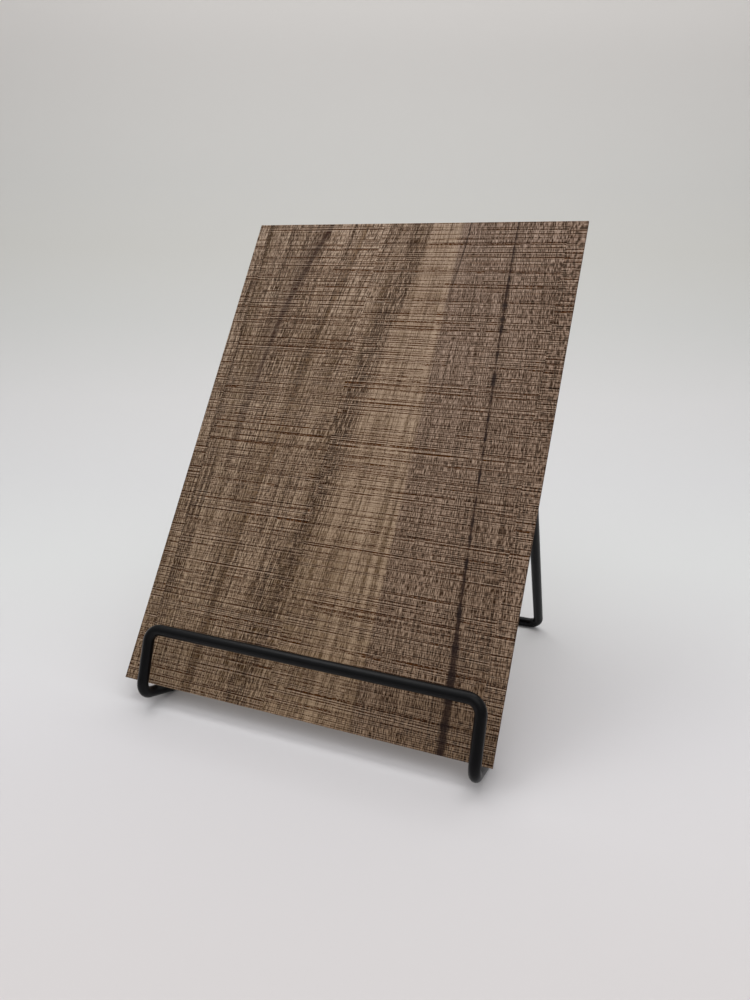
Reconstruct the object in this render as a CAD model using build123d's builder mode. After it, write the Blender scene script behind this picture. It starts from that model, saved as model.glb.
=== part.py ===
from build123d import *
from math import asin, atan2, cos, degrees, hypot, radians, sin, tan
import os

# Wood-look wall panel, standing on the bent-wire rack that holds it.
# Millimetres. +Z is up, +Y is away from the front and +X is to the right as seen from the front.
# The origin is on the floor, under the middle of the whole part.

# Panel: one thin printed sheet
panel_width = 210.0
panel_length = 297.0
panel_thickness = 1.5

# Rack: one round wire bent into a closed loop, the same on its left and right
wire_diameter = 6.0
bend_radius = 7.0            # to the centre of the wire
rack_width = 184.2           # between the wire centres at the front corners
side_taper = 2.1             # degrees that each side draws in towards the back
lip_length = 36.0            # from the front corner up to the lip bar
lip_lean = 18.1              # degrees back from the vertical
ledge_depth = 30.0           # from the front corner back to the front foot
ledge_slope = 17.3           # degrees that the ledge falls towards the back
apex_setback = 71.5          # from the front foot back to the apex
apex_height = 140.0          # from the front foot up to the apex
foot_spacing = 160.0         # from the front foot back to the rear bar

# How the panel stands on the rack
panel_offset = 7.0           # how far the panel stands left of the rack's middle
seat_setback = 17.5          # from the front foot forward to the panel's lower back edge
seat_clearance = 0.05        # left between the panel and the wire that carries it

wire_radius = wire_diameter / 2
slope = radians(ledge_slope)
taper = radians(side_taper)


def bend_centre(before, corner, after):
    """Centre of the arc that rounds one corner of the wire's path."""
    arm_before = (before - corner).normalized()
    arm_after = (after - corner).normalized()
    half_angle = radians(arm_before.get_angle(arm_after)) / 2
    return corner + (arm_before + arm_after).normalized() * bend_radius / sin(half_angle)


# Side view of the rack as (y, z) corners, with the front foot at (0, 0) for now
front_corner_side = (-ledge_depth, ledge_depth * tan(slope))
lip_side = (
    front_corner_side[0] + lip_length * sin(radians(lip_lean)),
    front_corner_side[1] + lip_length * cos(radians(lip_lean)),
)
foot_side = (0.0, 0.0)
apex_side = (apex_setback, apex_height)


def side_corner(side):
    """A corner of the right-hand side, which draws in towards the back, from its side view."""
    y, z = side
    drawn_in = (y + ledge_depth) * tan(taper)
    return Vector(rack_width / 2 - drawn_in, y, z)


lip_corner = side_corner(lip_side)
front_corner = side_corner(front_corner_side)
foot_corner = side_corner(foot_side)
apex_corner = side_corner(apex_side)

# Both feet touch the floor: the front one with its bend, the rear one with its straight bar
foot_bend = bend_centre(front_corner, foot_corner, apex_corner)
floor_height = foot_bend.Z - bend_radius - wire_radius
rear_corner = side_corner((foot_spacing, floor_height + wire_radius))

# The panel's lower back edge rests on the ledge and its back on the apex bends
seat_y = -seat_setback
seat_z = seat_setback * tan(slope) + (wire_radius + seat_clearance) / cos(slope)
apex_bend = bend_centre(foot_corner, apex_corner, rear_corner)
to_apex_y = apex_bend.Y - seat_y
to_apex_z = apex_bend.Z - seat_z
apex_reach = bend_radius + wire_radius + seat_clearance
panel_lean = atan2(to_apex_y, to_apex_z) - asin(apex_reach / hypot(to_apex_y, to_apex_z))

# From the side view's zero to the origin: the floor, under the middle of the whole part
front_bend = bend_centre(lip_corner, front_corner, foot_corner)
front_reach = front_bend.Y - bend_radius * cos(taper) - wire_radius
rear_reach = max(foot_spacing + wire_radius, seat_y + panel_length * sin(panel_lean))
middle_y = (front_reach + rear_reach) / 2
to_origin = Vector(panel_offset, -middle_y, -floor_height)

# Panel
panel_plane = Plane(
    origin=(0, seat_y - middle_y, seat_z - floor_height),
    x_dir=(1, 0, 0),
    z_dir=(0, -cos(panel_lean), sin(panel_lean)),
)
with BuildPart() as panel:
    with BuildSketch(panel_plane):
        Rectangle(panel_width, panel_length, align=(Align.CENTER, Align.MIN))
    extrude(amount=panel_thickness)
panel.part.label = "wood_look_panel"

# Rack: the right half of the wire is swept from the middle of the lip bar, down the lip, back along
# the ledge, up the backrest, over the apex and down to the middle of the rear bar, then mirrored
lip_middle = Vector(0, lip_corner.Y, lip_corner.Z)
rear_middle = Vector(0, rear_corner.Y, rear_corner.Z)
half_path = [lip_middle, lip_corner, front_corner, foot_corner, apex_corner, rear_corner, rear_middle]

with BuildPart() as rack:
    with BuildLine():
        wire_line = FilletPolyline(*[point + to_origin for point in half_path], radius=bend_radius)
    with BuildSketch(Plane(origin=wire_line @ 0, z_dir=wire_line % 0)):
        Circle(wire_radius)
    sweep(path=wire_line)
    mirror(about=Plane.YZ.offset(panel_offset))
rack.part.label = "wire_rack"

print(f"panel leans back {degrees(panel_lean):.2f} degrees")
print(f"wire length {2 * wire_line.length:.1f} mm")

os.makedirs("parts", exist_ok=True)
export_step(panel.part, "parts/wood_look_panel.step")
export_step(rack.part, "parts/wire_rack.step")
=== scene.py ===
from math import atan2, cos, hypot, pi, radians, sin

import bpy
import numpy as np
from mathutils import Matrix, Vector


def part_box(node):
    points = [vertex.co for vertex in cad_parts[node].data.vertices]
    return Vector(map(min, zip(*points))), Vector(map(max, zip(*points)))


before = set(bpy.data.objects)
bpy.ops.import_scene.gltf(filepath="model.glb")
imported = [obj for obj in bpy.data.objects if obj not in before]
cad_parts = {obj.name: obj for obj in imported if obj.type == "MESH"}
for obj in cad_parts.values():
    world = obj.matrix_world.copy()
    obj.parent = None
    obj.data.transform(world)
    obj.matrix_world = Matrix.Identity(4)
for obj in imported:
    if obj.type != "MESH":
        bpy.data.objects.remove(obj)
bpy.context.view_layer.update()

# Metres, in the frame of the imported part: +Z up, +Y away from the front, origin on the floor.
# The wood print is worked out in millimetres on the sheet itself.
MM = 0.001

# The sheet
SHEET_WIDTH = 0.210
SHEET_LENGTH = 0.297
SHEET_THICKNESS = 0.0015
SHEET_WIDTH_MM = SHEET_WIDTH / MM
SHEET_LENGTH_MM = SHEET_LENGTH / MM
SHEET_THICKNESS_MM = SHEET_THICKNESS / MM
PRINT_LAYER_MM = 0.2         # depth of the printed layer that shows along the edges
BACK_LAYER_MM = 0.1
LAYER_BLEND_MM = 0.02        # half of the depth over which one layer gives way to the next

# The camera, placed from the middle of the sheet's lower edge
CAMERA_FROM_SHEET = (0.16972, -0.30407, 0.21982)
CAMERA_TURN = (73.459, -0.604, 22.514)  # degrees about X, Y and Z
PICTURE_HEIGHT_PX = 1000
FOCAL_LENGTH_PX = 770.0
SENSOR_MM = 36.0

# The stage
FLOOR_HALF_WIDTH = 2.6
FLOOR_FRONT = -1.6
WALL_DISTANCE = 0.9          # from the origin back to where the floor would meet the wall
WALL_HEIGHT = 1.8
SWEEP_RADIUS = 0.55
SWEEP_STEPS = 24
# Its shade at places along it, given as the distance back from the origin plus the height: pale paper with
# painted light and shade, dimmer in the middle of the bend and paler as it rises to the wall.
# A program worked these shades out, by comparing the photo's background with the render's.
SWEEP_SHADES_WITH_PAINTED_LIGHT = [
    (-0.25, (207, 203, 203)), (-0.08, (209, 207, 209)), (0.17, (209, 210, 210)), (0.43, (208, 208, 209)),
    (0.67, (208, 207, 207)), (0.90, (202, 202, 200)), (1.08, (202, 201, 197)), (1.23, (205, 204, 201)),
    (1.38, (212, 210, 207)), (1.51, (219, 216, 213)),
]

# The light
HORIZON_LIGHT = 0.33
ZENITH_LIGHT = 0.95
LIGHT_RISE = 0.1             # height on the unit sphere from which the surround brightens
# Lamps: where each stands, the point that it is aimed at, its width and height, and its watts
LAMPS = {
    "top_soft_box": ((-0.06, 0.42, 1.2), (0.0, 0.0, 0.0), (1.4, 1.2), 6.9),
    "front_fill": ((0.45, -0.8, 1.3), (0.0, 0.0, 0.1), (1.2, 1.0), 3.6),
    "wire_glint": ((-0.42, -0.15, 1.1), (0.0, -0.08, 0.0), (0.7, 0.2), 1.3),
}


def sheet_pose():
    """The sheet's lean from the vertical and the middle of its lower back edge, from its node's box.

    A thin sheet's box is length * sin + thickness * cos deep and length * cos + thickness * sin high,
    and those two are solved for the angle.
    """
    low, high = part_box("wood_look_panel")
    deep = high[1] - low[1]
    tall = high[2] - low[2]
    lean = atan2(
        SHEET_LENGTH * deep - SHEET_THICKNESS * tall,
        SHEET_LENGTH * tall - SHEET_THICKNESS * deep,
    )
    foot = ((low[0] + high[0]) / 2, low[1] + SHEET_THICKNESS * cos(lean), low[2])
    return lean, foot


SHEET_LEAN, SHEET_FOOT = sheet_pose()


def srgb(*levels):
    """A colour given as 0 to 255 on a screen, as the linear numbers that shaders take."""
    shares = [level / 255 for level in levels]
    return tuple(s / 12.92 if s < 0.04045 else ((s + 0.055) / 1.055) ** 2.4 for s in shares)


class Field:
    """A value that varies over a surface: a node's socket, on which Python's operators add Math nodes."""

    def __init__(self, nodes, socket):
        self.nodes = nodes
        self.socket = socket

    def math(self, operation, *values):
        inputs = dict(enumerate(values))
        return self.nodes.add("ShaderNodeMath", {"operation": operation}, inputs)

    def __add__(self, other):
        return self.math("ADD", self, other)

    def __radd__(self, other):
        return self.math("ADD", other, self)

    def __sub__(self, other):
        return self.math("SUBTRACT", self, other)

    def __rsub__(self, other):
        return self.math("SUBTRACT", other, self)

    def __mul__(self, other):
        return self.math("MULTIPLY", self, other)

    def __rmul__(self, other):
        return self.math("MULTIPLY", other, self)

    def __truediv__(self, other):
        return self.math("DIVIDE", self, other)

    def __rtruediv__(self, other):
        return self.math("DIVIDE", other, self)

    def __pow__(self, other):
        return self.math("POWER", self, other)

    def __floordiv__(self, other):
        return self.math("FLOOR", self / other)

    def __mod__(self, other):
        return self.math("MODULO", self, other)

    def __abs__(self):
        return self.math("ABSOLUTE", self)


class Nodes:
    """A node tree, built up from Fields."""

    def __init__(self, tree):
        self.tree = tree

    def add(self, kind, settings, inputs, out=0):
        """Adds a node: its settings first, then the values or links of its sockets.

        Gives the output that out names, or a list of outputs where out is a tuple of them.
        """
        node = self.tree.nodes.new(kind)
        for key, value in settings.items():
            if key == "stops":
                self.set_stops(node.color_ramp, value)
            elif key == "points":
                self.set_points(node.mapping, value)
            else:
                setattr(node, key, value)
        for key, value in inputs.items():
            self.feed(node.inputs[key], value)
        if isinstance(out, tuple):
            return [Field(self, node.outputs[one]) for one in out]
        return Field(self, node.outputs[out])

    def feed(self, socket, value):
        if isinstance(value, Field):
            self.tree.links.new(value.socket, socket)
        else:
            socket.default_value = value

    def set_stops(self, ramp, stops):
        while len(ramp.elements) < len(stops):
            ramp.elements.new(1.0)
        for element, (place, colour) in zip(ramp.elements, stops):
            element.position = place
            element.color = (*colour, 1.0)

    def set_points(self, mapping, points):
        curve = mapping.curves[0]
        while len(curve.points) < len(points):
            curve.points.new(1.0, 1.0)
        for point, place in zip(curve.points, points):
            point.location = place
        mapping.update()

    def object_place(self):
        return self.add("ShaderNodeTexCoord", {}, {}, out="Object")

    def parts(self, vector):
        """The x, y and z of a vector."""
        return self.add("ShaderNodeSeparateXYZ", {}, {0: vector}, out=("X", "Y", "Z"))

    def vector(self, x, y, z=0.0):
        return self.add("ShaderNodeCombineXYZ", {}, {0: x, 1: y, 2: z})

    def scaled(self, vector, factor):
        return self.add("ShaderNodeVectorMath", {"operation": "SCALE"}, {0: vector, "Scale": factor})

    def noise(self, vector, detail=2.0, roughness=0.5):
        inputs = {"Vector": vector, "Scale": 1.0, "Detail": detail, "Roughness": roughness}
        return self.add("ShaderNodeTexNoise", {}, inputs)

    def step(self, value, low, high):
        """0 below low, 1 above high, smooth between them."""
        settings = {"interpolation_type": "SMOOTHSTEP"}
        return self.add("ShaderNodeMapRange", settings, {0: value, 1: low, 2: high, 3: 0.0, 4: 1.0})

    def near(self, distance, inner, outer):
        """1 within inner of a line, 0 beyond outer."""
        return 1.0 - self.step(abs(distance), inner, outer)

    def curve(self, value, points, low, high):
        """A smooth curve through (place, height) points: places from 0 to 1, heights from low to high."""
        shares = [(place, (height - low) / (high - low)) for place, height in points]
        return self.add("ShaderNodeFloatCurve", {"points": shares}, {"Value": value}) * (high - low) + low

    def ramp(self, value, stops):
        return self.add("ShaderNodeValToRGB", {"stops": stops}, {"Fac": value})

    def mix(self, factor, first, second, blend="MIX"):
        """Mixes two colours, each a socket or (r, g, b)."""
        settings = {"data_type": "RGBA", "blend_type": blend}
        colours = [c if isinstance(c, Field) else (*c, 1.0) for c in (first, second)]
        return self.add("ShaderNodeMix", settings, {0: factor, 6: colours[0], 7: colours[1]}, out=2)

    def tint(self, factor, colour, multiplier):
        return self.mix(factor, colour, multiplier, blend="MULTIPLY")

    def bump(self, height, depth):
        """Normals of a relief that is depth metres high where height is 1."""
        return self.add("ShaderNodeBump", {}, {"Strength": 1.0, "Distance": depth, "Height": height})


class Finish(Nodes):
    """A node material with one Principled shader."""

    def __init__(self, name, **constants):
        self.material = bpy.data.materials.new(name)
        self.material.use_nodes = True
        super().__init__(self.material.node_tree)
        self.tree.nodes.clear()
        output = self.tree.nodes.new("ShaderNodeOutputMaterial")
        self.shader = self.tree.nodes.new("ShaderNodeBsdfPrincipled")
        self.tree.links.new(self.shader.outputs[0], output.inputs["Surface"])
        for key, value in constants.items():
            self.shader.inputs[key.replace("_", " ")].default_value = value

    def shade(self, **fields):
        """Feeds the shader's sockets, with a space where the name has an underscore."""
        for key, value in fields.items():
            self.feed(self.shader.inputs[key.replace("_", " ")], value)


RELIEF_DEPTH = 0.06 * MM

# The print's own map, in millimetres from the sheet's left edge.
# How far the grain leans over to the right from the lower to the upper edge, at places across the sheet
GRAIN_LEAN = [
    (0.0, 0.0), (15.0, 4.0), (51.0, 19.0), (75.0, 27.5), (95.0, 33.0), (107.0, 32.0),
    (120.0, 25.0), (134.0, 11.0), (148.0, -1.0), (175.0, -12.0), (190.0, -12.0), (210.0, -3.0),
]
# Staves of the print, each with its own saw marks: their left edges
STAVE_EDGES = (8.7, 87.5, 200.0)
BAND_RIGHT = 137.5
# Straight pale and dark lines near the left edge: place, half width and strength
STRAIGHT_LINES = ((22.8, 0.9, 0.36), (19.0, 0.8, 0.26), (8.8, 1.6, -0.45))
# Places of its single features at shares of the way up
SMUDGE_LINE = [(0.0, 20.0), (0.45, 26.0), (0.69, 31.0), (0.79, 34.5), (0.89, 42.0), (1.0, 52.5)]
VEIN_LINE = [(0.0, 42.0), (0.16, 43.5), (0.34, 49.0), (0.50, 55.0), (0.68, 60.5), (0.86, 70.0), (1.0, 78.0)]
PORE_LINE = [
    (0.0, 70.0), (0.20, 76.0), (0.40, 88.0), (0.62, 95.0), (0.75, 100.0), (0.85, 108.0), (1.0, 113.0),
]
BAND_LEFT_LINE = [
    (0.0, 88.0), (0.17, 90.0), (0.41, 95.0), (0.58, 100.0), (0.75, 107.0), (0.85, 114.0), (1.0, 119.0),
]
PALE_LINE = [
    (0.0, 113.5), (0.15, 116.0), (0.28, 118.0), (0.46, 124.0), (0.65, 131.0), (0.85, 137.0), (1.0, 140.0),
]
BAND_VEIN_LINE = [(0.0, 97.0), (0.20, 104.0), (0.33, 108.0), (0.60, 119.0), (0.75, 125.0), (1.0, 131.0)]
PALE_STREAK_LINE = [(0.0, 33.0), (0.30, 38.0), (0.53, 45.5), (0.70, 52.0), (1.0, 64.0)]
CRACK_LINE = [
    (0.0, 184.6), (0.12, 183.0), (0.25, 180.3), (0.41, 178.0), (0.66, 174.5), (0.80, 172.4), (1.0, 170.6),
]
CRACK_HALF_WIDTH = [
    (0.0, 1.9), (0.12, 1.9), (0.22, 1.05), (0.36, 0.70), (0.50, 0.50), (0.60, 0.60), (0.67, 1.0),
    (0.73, 0.60), (0.81, 1.35), (0.88, 0.60), (1.0, 0.45),
]
SHORT_CRACK_LINE = [(0.70, 135.5), (0.79, 137.0), (0.91, 141.0), (1.0, 142.6)]
RIGHT_VEIN_LINE = [(0.0, 199.0), (0.16, 198.0), (0.34, 194.6), (0.48, 192.5), (1.0, 189.0)]

DARK_WOOD = srgb(56, 36, 18)
MIDDLE_WOOD = srgb(131, 109, 92)
LIGHT_WOOD = srgb(188, 167, 147)
BAND_WOOD = srgb(152, 128, 104)
OLIVE_WOOD = srgb(104, 82, 54)
SMUDGE = srgb(54, 32, 23)
CRACK = srgb(28, 20, 21)
THIN_CRACK = srgb(48, 30, 23)
CORE_SHADES = [(0.3, srgb(58, 40, 28)), (0.7, srgb(84, 60, 43))]
BACK_SHADES = [(0.25, srgb(104, 82, 60)), (0.75, srgb(134, 110, 84))]
# Multipliers for red, green and blue
# Painted shade: the wood is made darker and browner towards the lower edge
PAINTED_LOWER_SHADE = (0.80, 0.76, 0.66)
RIGHT_TINT = (0.89, 0.87, 0.92)
FAR_LEFT_TINT = (0.92, 0.92, 0.91)
FAR_RIGHT_TINT = (0.88, 0.86, 0.84)
# Painted shadow: the wire rack's shade over the lower right of the sheet
PAINTED_CORNER_SHADOW = (0.76, 0.72, 0.64)
SAW_MARK_TINT = (0.20, 0.10, 0.04)
BAR_TINT = (0.54, 0.42, 0.32)
RING_TINT = (0.42, 0.33, 0.22)


class WoodPrint(Finish):
    """Matt printed sheet: walnut bands and streaks, pores, a long crack line and cross saw marks.

    The print is drawn on millimetres across the sheet and up it, and along a grain that leans over.
    Its tone says how pale the wood is: 0 is DARK_WOOD and 1 is LIGHT_WOOD.
    """

    def __init__(self):
        super().__init__("printed_wood", Specular_IOR_Level=0.04)
        self.across, self.up, self.out = self.sheet_coordinates()
        self.share_up = self.up / SHEET_LENGTH_MM
        leans = [(place / SHEET_WIDTH_MM, lean) for place, lean in GRAIN_LEAN]
        lean = self.curve(self.across / SHEET_WIDTH_MM, leans, -20.0, 50.0)
        self.waver = (self.over_sheet(60.0, 60.0, 0.0, detail=1.0) - 0.5) * 4.0
        self.grain = self.across - lean * self.share_up + self.waver

        # Streaks along the grain, from broad to fine, and then short strokes and ticks
        self.broad = self.along_grain(7.0, 140.0, 3.0, detail=3.0, roughness=0.55) - 0.5
        self.streaks = self.along_grain(1.4, 180.0, 7.0, detail=4.0, roughness=0.7) - 0.5
        self.strokes = self.along_grain(0.6, 45.0, 5.0, detail=1.0) - 0.5
        self.ticks = self.along_grain(0.42, 3.0, 6.0, detail=0.0) - 0.5

        # The lighter band right of the middle, soft on its left and sharp on its right
        self.right_part = self.step(self.across, BAND_RIGHT - 1.0, BAND_RIGHT + 1.5)
        in_band = self.step(self.right_of(BAND_LEFT_LINE) + self.waver * 0.5, -2.0, 5.0)
        band_end = self.step(self.across + self.streaks * 3.0, BAND_RIGHT - 1.2, BAND_RIGHT + 1.2)
        self.in_band = in_band * (1.0 - band_end)

        # The stave that a place is in, counted from the left, and a lot drawn for its streak of grain
        wobble = (self.up_sheet(3.0, 41.0) - 0.5) * 1.2
        self.stave = sum(self.step(self.across + wobble, edge - 0.01, edge + 0.01) for edge in STAVE_EDGES)
        cells = {"W": self.grain / 20.0, "Scale": 1.0}
        lot = self.add("ShaderNodeTexVoronoi", {"voronoi_dimensions": "1D"}, cells, out="Color")
        self.grain_lot = self.add("ShaderNodeSeparateColor", {}, {0: lot})

    def sheet_coordinates(self):
        """Millimetres across the sheet from its left edge, up from its lower edge, and out from its back."""
        to_foot = self.add(
            "ShaderNodeVectorMath", {"operation": "SUBTRACT"}, {0: self.object_place(), 1: SHEET_FOOT},
        )
        turned = self.add(
            "ShaderNodeMapping",
            {"vector_type": "POINT"},
            {
                "Vector": to_foot,
                "Location": (SHEET_WIDTH_MM / 2, 0.0, 0.0),
                "Rotation": (SHEET_LEAN - pi / 2, 0.0, 0.0),
                "Scale": (1 / MM, 1 / MM, 1 / MM),
            },
        )
        return self.parts(turned)

    def over_sheet(self, width, height, seed, detail=2.0):
        """Noise in patches that are width by height millimetres."""
        return self.noise(self.vector(self.across / width, self.up / height, seed), detail)

    def up_sheet(self, height, seed, detail=2.0):
        """Noise that changes only up the sheet."""
        return self.noise(self.vector(self.up / height, seed), detail)

    def along_grain(self, width, length, seed, detail=2.0, roughness=0.5):
        """Noise in streaks that are width millimetres across the grain and length along it."""
        return self.noise(self.vector(self.grain / width, self.up / length, seed), detail, roughness)

    def right_of(self, line):
        """How far a place lies to the right of a line that is given at shares of the way up."""
        return self.across - self.curve(self.share_up, line, 0.0, SHEET_WIDTH_MM)

    def above(self, low, high):
        """0 below one share of the way up, 1 above another."""
        return self.step(self.share_up, low, high)

    def grain_tone(self):
        """The streaks, strokes and ticks, with small dark pits, weaker where the grain is calm."""
        pits = self.step(self.along_grain(0.55, 9.0, 44.0, detail=1.0), 0.56, 0.68)
        cloud = self.over_sheet(25.0, 60.0, 11.0) - 0.5
        calm = 0.6 + self.step(self.along_grain(9.0, 130.0, 61.0), 0.35, 0.65) * 0.6
        tone = 0.46 + self.broad * 0.70 + cloud * 0.12 - pits * 0.36
        tone = tone + self.ticks * (2.1 + self.right_part * 0.6)
        return tone + (self.streaks * 2.0 + self.strokes * 2.4) * calm * (1.0 - self.right_part * 0.25)

    def band_tone(self):
        """The lighter band, palest at the top, and a fainter one left of it in the upper half."""
        streaks = self.along_grain(3.2, 220.0, 17.0, roughness=0.6) - 0.5
        lines = self.step(self.along_grain(1.3, 170.0, 19.0, detail=1.0), 0.58, 0.68)
        band = 0.10 + self.above(0.05, 0.80) * 0.32 + streaks * 2.2 + lines * 0.25
        beside = self.near(self.across - 80.0, 6.0, 16.0) * 0.05
        beside = beside + self.near(self.across - 82.0, 4.0, 20.0) * self.above(0.40, 0.80) * 0.12
        return self.in_band * band + beside

    def line_tone(self):
        """A pale line and a dark vein along the band, a pale streak, and the lines near the left edge."""
        waver = self.waver * 0.2
        pale_line = self.near(self.right_of(PALE_LINE) + waver, 0.4, 2.4) * (1.0 - self.above(0.72, 0.86))
        band_vein = self.near(self.right_of(BAND_VEIN_LINE) + waver, 0.1, 1.3)
        pale_streak = self.near(self.right_of(PALE_STREAK_LINE) + waver, 1.0, 7.0)
        tone = pale_line * 0.55 - band_vein * 0.30 + pale_streak * 0.14
        for place, half_width, strength in STRAIGHT_LINES:
            distance = self.across - place + self.streaks * 1.5
            tone = tone + self.near(distance, 0.1, half_width) * strength
        return tone + (1.0 - self.step(self.across, 6.0, 9.0)) * 0.04

    def pore_tone(self):
        """How much the dark pores take from the tone along their streak, which fades near the top."""
        zone = self.near(self.right_of(PORE_LINE) + self.waver * 0.4, 2.5, 8.5)
        zone = zone * (1.0 - self.above(0.78, 0.98) * 0.4)
        pores = self.along_grain(0.8, 7.0, 25.0, detail=1.0, roughness=0.6)
        return zone * (0.10 + self.step(pores, 0.50, 0.58) * 1.35)

    def rings(self):
        """Growth rings: each darkens slowly towards its right edge and ends there."""
        ring = self.grain / 6.0 + self.broad * 3.0 + 20.0
        lot = self.add("ShaderNodeTexWhiteNoise", {"noise_dimensions": "1D"}, {"W": ring // 1.0})
        return (ring % 1.0) ** 3.0 * self.step(lot, 0.3, 1.0) * (0.80 - self.right_part * 0.60)

    def veins(self):
        """A long dark vein left of the middle, soft on its left, and a short one at the lower right."""
        edge = self.right_of(VEIN_LINE) + self.waver * 0.2
        vein = self.step(edge, -6.0, -0.2) * (1.0 - self.step(edge, -0.2, 0.5))
        right_vein = self.near(self.right_of(RIGHT_VEIN_LINE), 0.1, 0.9) * (1.0 - self.above(0.40, 0.60))
        return vein * 0.88 + right_vein * 0.6

    def smudge(self):
        """The smudge that comes down from the upper left: a dark core with a soft side on its left."""
        edge = self.right_of(SMUDGE_LINE) + self.strokes * 3.0
        smudge = self.near(edge, 0.3, 2.4) * 0.90 + self.near(edge + 3.0, 1.0, 9.5) * 0.42
        return smudge * self.above(0.35, 0.85)

    def bare_wood(self):
        """The wood's colour before it is cracked and sawn, with painted shade towards the lower edge and at
        the lower right.
        """
        tone = self.grain_tone() + self.band_tone() + self.line_tone() - self.pore_tone()
        wood = self.ramp(tone, [(0.0, DARK_WOOD), (0.42, MIDDLE_WOOD), (1.0, LIGHT_WOOD)])
        wood = self.mix(self.in_band * 0.25, wood, BAND_WOOD)
        olive = self.step(self.along_grain(6.0, 130.0, 51.0), 0.48, 0.66)
        wood = self.mix(olive * (1.0 - self.right_part * 0.8) * 0.30, wood, OLIVE_WOOD)
        tints_and_painted_shade = (
            # painted shade, darker and browner towards the lower edge
            (1.0 - self.share_up, PAINTED_LOWER_SHADE),
            (self.right_part, RIGHT_TINT),
            (1.0 - self.step(self.across, 20.0, 60.0), FAR_LEFT_TINT),
            (self.step(self.across, 160.0, 205.0), FAR_RIGHT_TINT),
            # painted shadow of the wire rack over the lower right
            (self.step(self.across, 90.0, 210.0) * (1.0 - self.above(0.0, 0.24)), PAINTED_CORNER_SHADOW),
            (self.rings(), RING_TINT),
            (self.veins(), RING_TINT),
        )
        for factor, multiplier in tints_and_painted_shade:
            wood = self.tint(factor, wood, multiplier)
        return self.mix(self.smudge(), wood, SMUDGE)

    def crack_lines(self):
        """The long crack line, uneven in width, and the short one: their strength, colour and halo."""
        ragged = (self.over_sheet(1.0, 2.6, 31.0) - 0.5) * 2.2
        uneven = self.step(self.up_sheet(8.0, 33.0, detail=3.0), 0.36, 0.64)
        uneven = uneven + (1.0 - uneven) * (1.0 - self.above(0.10, 0.40)) * 0.6
        edge = self.right_of(CRACK_LINE) + ragged * 0.6
        half_width = self.curve(self.share_up, CRACK_HALF_WIDTH, 0.0, 2.0) * (0.35 + uneven * 1.2)
        crack = 1.0 - self.step(abs(edge), half_width * 0.3, half_width * 1.2 + 0.15)
        crack = crack * (0.70 + uneven * 0.30)
        short_crack = self.near(self.right_of(SHORT_CRACK_LINE) + ragged * 0.5, 0.15, 0.75)
        strength = self.step(crack + short_crack * self.above(0.72, 0.95) * 0.8, -0.1, 1.1) * 0.9
        halo = self.near(edge, 0.5, 3.6) * 0.30
        return crack, strength, self.mix(uneven, THIN_CRACK, CRACK), halo

    def saw_set(self, spacing, width, break_level, seed):
        """Thin cross lines at uneven heights, and the pale fringes beside them.

        A one-dimensional Voronoi pattern places the lines: the distance from its nearest point is the
        distance from a line, and the point's random colour sets the line's width and strength. White
        noise over the line and the streak of grain that it crosses makes its strength change abruptly
        there. A line breaks off where a noise along it falls below break_level.
        """
        wander = self.over_sheet(40.0, 9.0, seed) * 0.8
        place = (self.up + wander) / spacing + self.stave * 37.3 + seed
        distance, lot = self.add(
            "ShaderNodeTexVoronoi",
            {"voronoi_dimensions": "1D", "feature": "F1"},
            {"W": place, "Scale": 1.0, "Randomness": 1.0},
            out=("Distance", "Color"),
        )
        red, green, blue = self.add("ShaderNodeSeparateColor", {}, {0: lot}, out=(0, 1, 2))
        ragged = (self.over_sheet(1.3, 0.8, seed, detail=1.0) - 0.5) * width
        distance = distance * spacing + ragged
        half_width = (0.6 + green * 0.8) * width

        crossing = self.vector(red * 91.0, self.grain_lot * 57.0)
        streak = self.add("ShaderNodeTexWhiteNoise", {"noise_dimensions": "2D"}, {"Vector": crossing})
        stretch = self.noise(
            self.vector(self.across / 14.0, blue * 90.0, self.stave * 5.1 + seed), detail=1.0,
        )
        beads = self.noise(self.vector(self.across, red * 91.0, seed), detail=1.0)
        cluster = self.over_sheet(90.0, 12.0, self.stave * 9.3 + seed, detail=1.0)
        strength = (0.3 + red * 0.8) * (0.35 + self.step(streak, 0.1, 0.5) * 0.65)
        strength = strength * (0.45 + self.step(cluster, 0.38, 0.60) * 0.80)
        strength = strength * self.step(stretch, break_level, break_level + 0.1)
        strength = strength * (0.45 + self.step(beads, 0.40, 0.60) * 0.8)

        line = (1.0 - self.step(distance, half_width * 0.4, half_width * 1.2)) * strength
        fringe = (1.0 - self.step(distance, half_width * 1.4, half_width * 3.0)) * strength - line
        return line, fringe

    def saw_marks(self):
        """All saw marks, which break off where the staves and the streaks of grain meet, and fringes."""
        wide = self.saw_set(spacing=4.6, width=0.34, break_level=0.22, seed=1.7)
        middle = self.saw_set(spacing=2.4, width=0.36, break_level=0.30, seed=4.3)
        close = self.saw_set(spacing=1.15, width=0.28, break_level=0.36, seed=8.9)
        weight = 1.40 + self.above(0.0, 0.5) * 0.25 - self.right_part * 0.15
        return [(w * 0.65 + m + c) * weight for w, m, c in zip(wide, middle, close)]

    def bars(self):
        """Broader and fainter cross bars, stronger towards the top."""
        bars = self.over_sheet(35.0, 1.6, self.stave * 11.0)
        return self.step(bars, 0.47, 0.70) * (0.14 + self.above(0.60, 0.95) * 0.44)

    def paint(self):
        """The printed face, the brown core that shows behind it along the edges, and the sanded back."""
        marks, fringes = self.saw_marks()
        crack, crack_strength, crack_colour, halo = self.crack_lines()
        wood = self.mix(halo, self.bare_wood(), DARK_WOOD)
        wood = self.mix(fringes * 0.26, wood, LIGHT_WOOD)
        wood = self.tint(self.bars(), wood, BAR_TINT)
        wood = self.tint(marks, wood, SAW_MARK_TINT)
        wood = self.mix(crack_strength, wood, crack_colour)

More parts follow.
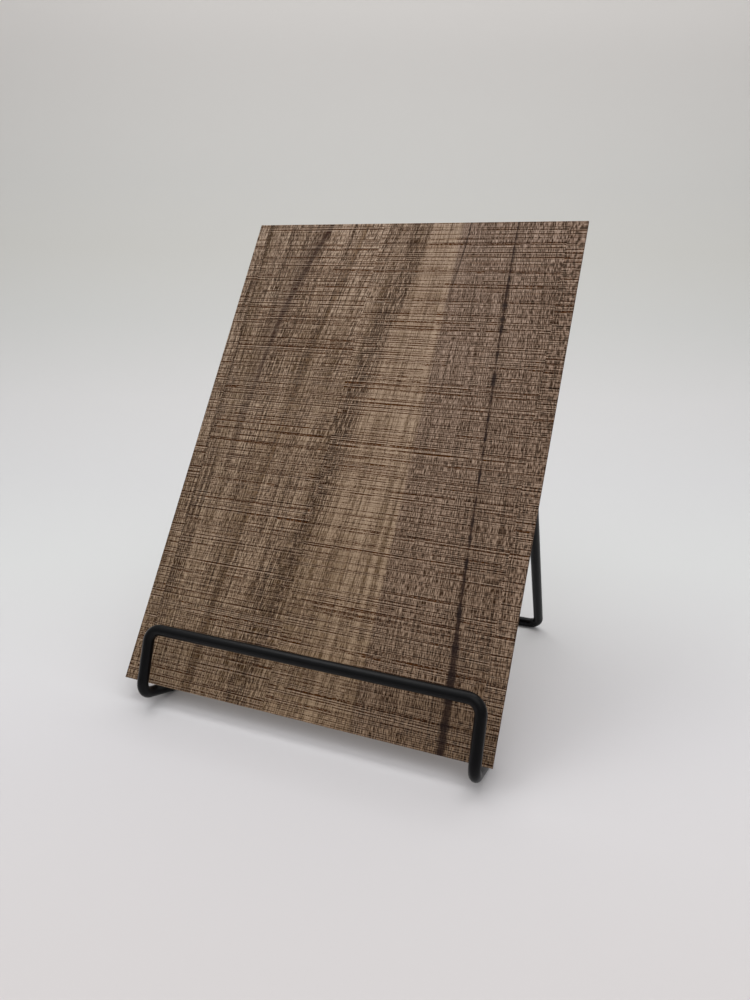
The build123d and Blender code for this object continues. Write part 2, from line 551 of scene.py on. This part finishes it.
        fibres = self.noise(self.vector(self.across / 0.35, self.up / 0.35, self.out / 0.12))
        sanding = self.noise(self.vector(self.across / 0.3, self.up / 26.0, 21.0), detail=3.0, roughness=0.7)
        print_depth = SHEET_THICKNESS_MM - PRINT_LAYER_MM
        on_print = self.step(self.out, print_depth - LAYER_BLEND_MM, print_depth + LAYER_BLEND_MM)
        off_back = self.step(self.out, BACK_LAYER_MM - LAYER_BLEND_MM, BACK_LAYER_MM + LAYER_BLEND_MM)
        colour = self.mix(on_print, self.ramp(fibres, CORE_SHADES), wood)
        colour = self.mix(off_back, self.ramp(sanding, BACK_SHADES), colour)

        print_relief = 0.5 + self.strokes * 0.6 + self.ticks * 0.3 - marks * 0.9 - crack
        rough_relief = fibres * 0.5 + sanding * 0.4
        relief = print_relief * on_print + rough_relief * (1.0 - on_print)
        self.shade(
            Base_Color=colour,
            Roughness=0.55 + marks * 0.12 + (1.0 - on_print) * 0.15,
            Normal=self.bump(relief, RELIEF_DEPTH),
        )
        return self.material


def black_coating():
    """Satin black powder coat: near black, with a fine orange peel and a few tiny pits."""
    finish = Finish("black_powder_coat", Specular_IOR_Level=0.15)
    millimetres = finish.scaled(finish.object_place(), 1 / MM)
    peel = finish.noise(millimetres, detail=3.0, roughness=0.55)
    patches = finish.noise(finish.scaled(millimetres, 0.08))
    pit_field = {"Vector": millimetres, "Scale": 0.22, "Randomness": 1.0}
    pits = 1.0 - finish.step(finish.add("ShaderNodeTexVoronoi", {}, pit_field), 0.04, 0.11)
    finish.shade(
        Base_Color=finish.ramp(peel * 0.5 + patches * 0.5, [(0.3, srgb(2, 2, 3)), (0.7, srgb(5, 5, 7))]),
        Roughness=0.24 + patches * 0.10 + peel * 0.06,
        Normal=finish.bump(peel * 0.6 - pits * 0.8, RELIEF_DEPTH),
    )
    return finish.material


def pale_sweep():
    """Matt pale paper, with painted light and shade along the sweep: dimmer in the middle of the bend, paler
    as it rises to the wall.
    """
    finish = Finish("pale_sweep", Roughness=0.9, Specular_IOR_Level=0.1)
    _, back, height = finish.parts(finish.object_place())
    start = SWEEP_SHADES_WITH_PAINTED_LIGHT[0][0]
    end = SWEEP_SHADES_WITH_PAINTED_LIGHT[-1][0]
    reach = finish.add("ShaderNodeMapRange", {}, {0: back + height, 1: start, 2: end})
    stops = [((place - start) / (end - start), srgb(*shade)) for place, shade in SWEEP_SHADES_WITH_PAINTED_LIGHT]
    finish.shade(Base_Color=finish.ramp(reach, stops))
    return finish.material


def surface(name, points):
    """A mesh from a grid of points, shape (rows, columns, 3), joined into four-sided faces."""
    rows, columns, _ = points.shape
    index = np.arange(rows * columns).reshape(rows, columns)
    corners = [index[:-1, :-1], index[:-1, 1:], index[1:, 1:], index[1:, :-1]]
    faces = np.stack(corners, axis=-1).reshape(-1, 4)
    mesh = bpy.data.meshes.new(name)
    mesh.from_pydata(points.reshape(-1, 3).tolist(), [], faces.tolist())
    mesh.shade_smooth()
    piece = bpy.data.objects.new(name, mesh)
    bpy.context.scene.collection.objects.link(piece)
    return piece


def sweep_stage():
    """A seamless studio sweep: a straight floor, a quarter circle and a straight wall, carried across."""
    turn = np.linspace(0.0, pi / 2, SWEEP_STEPS)
    arc_y = WALL_DISTANCE - SWEEP_RADIUS + SWEEP_RADIUS * np.sin(turn)
    arc_z = SWEEP_RADIUS - SWEEP_RADIUS * np.cos(turn)
    profile_y = np.concatenate([[FLOOR_FRONT], arc_y, [WALL_DISTANCE]])
    profile_z = np.concatenate([[0.0], arc_z, [WALL_HEIGHT]])
    points = np.zeros((2, len(profile_y), 3))
    points[:, :, 0] = np.array([[-FLOOR_HALF_WIDTH], [FLOOR_HALF_WIDTH]])
    points[:, :, 1] = profile_y
    points[:, :, 2] = profile_z
    stage = surface("studio_sweep", points)
    stage.data.flip_normals()
    stage.data.materials.append(pale_sweep())
    stage.rotation_euler = (0.0, 0.0, radians(CAMERA_TURN[2]))


def area_light(name, place, aim, size, watts):
    lamp = bpy.data.lights.new(name, "AREA")
    lamp.shape = "RECTANGLE"
    lamp.size, lamp.size_y = size
    lamp.energy = watts
    light = bpy.data.objects.new(name, lamp)
    bpy.context.scene.collection.objects.link(light)
    light.location = place
    x, y, z = np.array(aim) - np.array(place)
    light.rotation_euler = (atan2(hypot(x, y), -z), 0.0, atan2(y, x) - pi / 2)


def studio_light():
    """A surround that is pale above and dimmer around, and the lamps.

    They are a soft box above and a little behind, a fill in front, and a narrow lamp at the left whose
    reflection runs along the lip bar.
    """
    world = bpy.data.worlds.new("studio_surround")
    bpy.context.scene.world = world
    world.use_nodes = True
    background = world.node_tree.nodes["Background"]
    background.inputs["Color"].default_value = (1.0, 1.0, 1.0, 1.0)
    surround = Nodes(world.node_tree)
    direction = surround.add("ShaderNodeTexCoord", {}, {}, out="Generated")
    _, _, rise = surround.parts(direction)
    light_range = {0: rise, 1: LIGHT_RISE, 2: 1.0, 3: HORIZON_LIGHT, 4: ZENITH_LIGHT}
    surround.feed(background.inputs["Strength"], surround.add("ShaderNodeMapRange", {}, light_range))
    for name, (place, aim, size, watts) in LAMPS.items():
        area_light(name, place, aim, size, watts)


def photo_camera():
    camera_data = bpy.data.cameras.new("photo_camera")
    camera_data.sensor_fit = "AUTO"
    camera_data.sensor_width = SENSOR_MM
    camera_data.lens = FOCAL_LENGTH_PX / PICTURE_HEIGHT_PX * SENSOR_MM
    camera_data.clip_start = 0.01
    camera = bpy.data.objects.new("photo_camera", camera_data)
    bpy.context.scene.collection.objects.link(camera)
    # The middle of the lower edge, halfway through the sheet's thickness
    half = SHEET_THICKNESS / 2
    edge = (SHEET_FOOT[0], SHEET_FOOT[1] - half * cos(SHEET_LEAN), SHEET_FOOT[2] + half * sin(SHEET_LEAN))
    camera.location = [place + away for place, away in zip(edge, CAMERA_FROM_SHEET)]
    camera.rotation_euler = [radians(angle) for angle in CAMERA_TURN]
    bpy.context.scene.camera = camera


def dress(node, material):
    """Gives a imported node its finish."""
    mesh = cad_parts[node].data
    mesh.materials.clear()
    mesh.materials.append(material)


dress("wood_look_panel", WoodPrint().paint())
dress("wire_rack", black_coating())
sweep_stage()
studio_light()
photo_camera()
bpy.context.scene.view_settings.view_transform = "Standard"
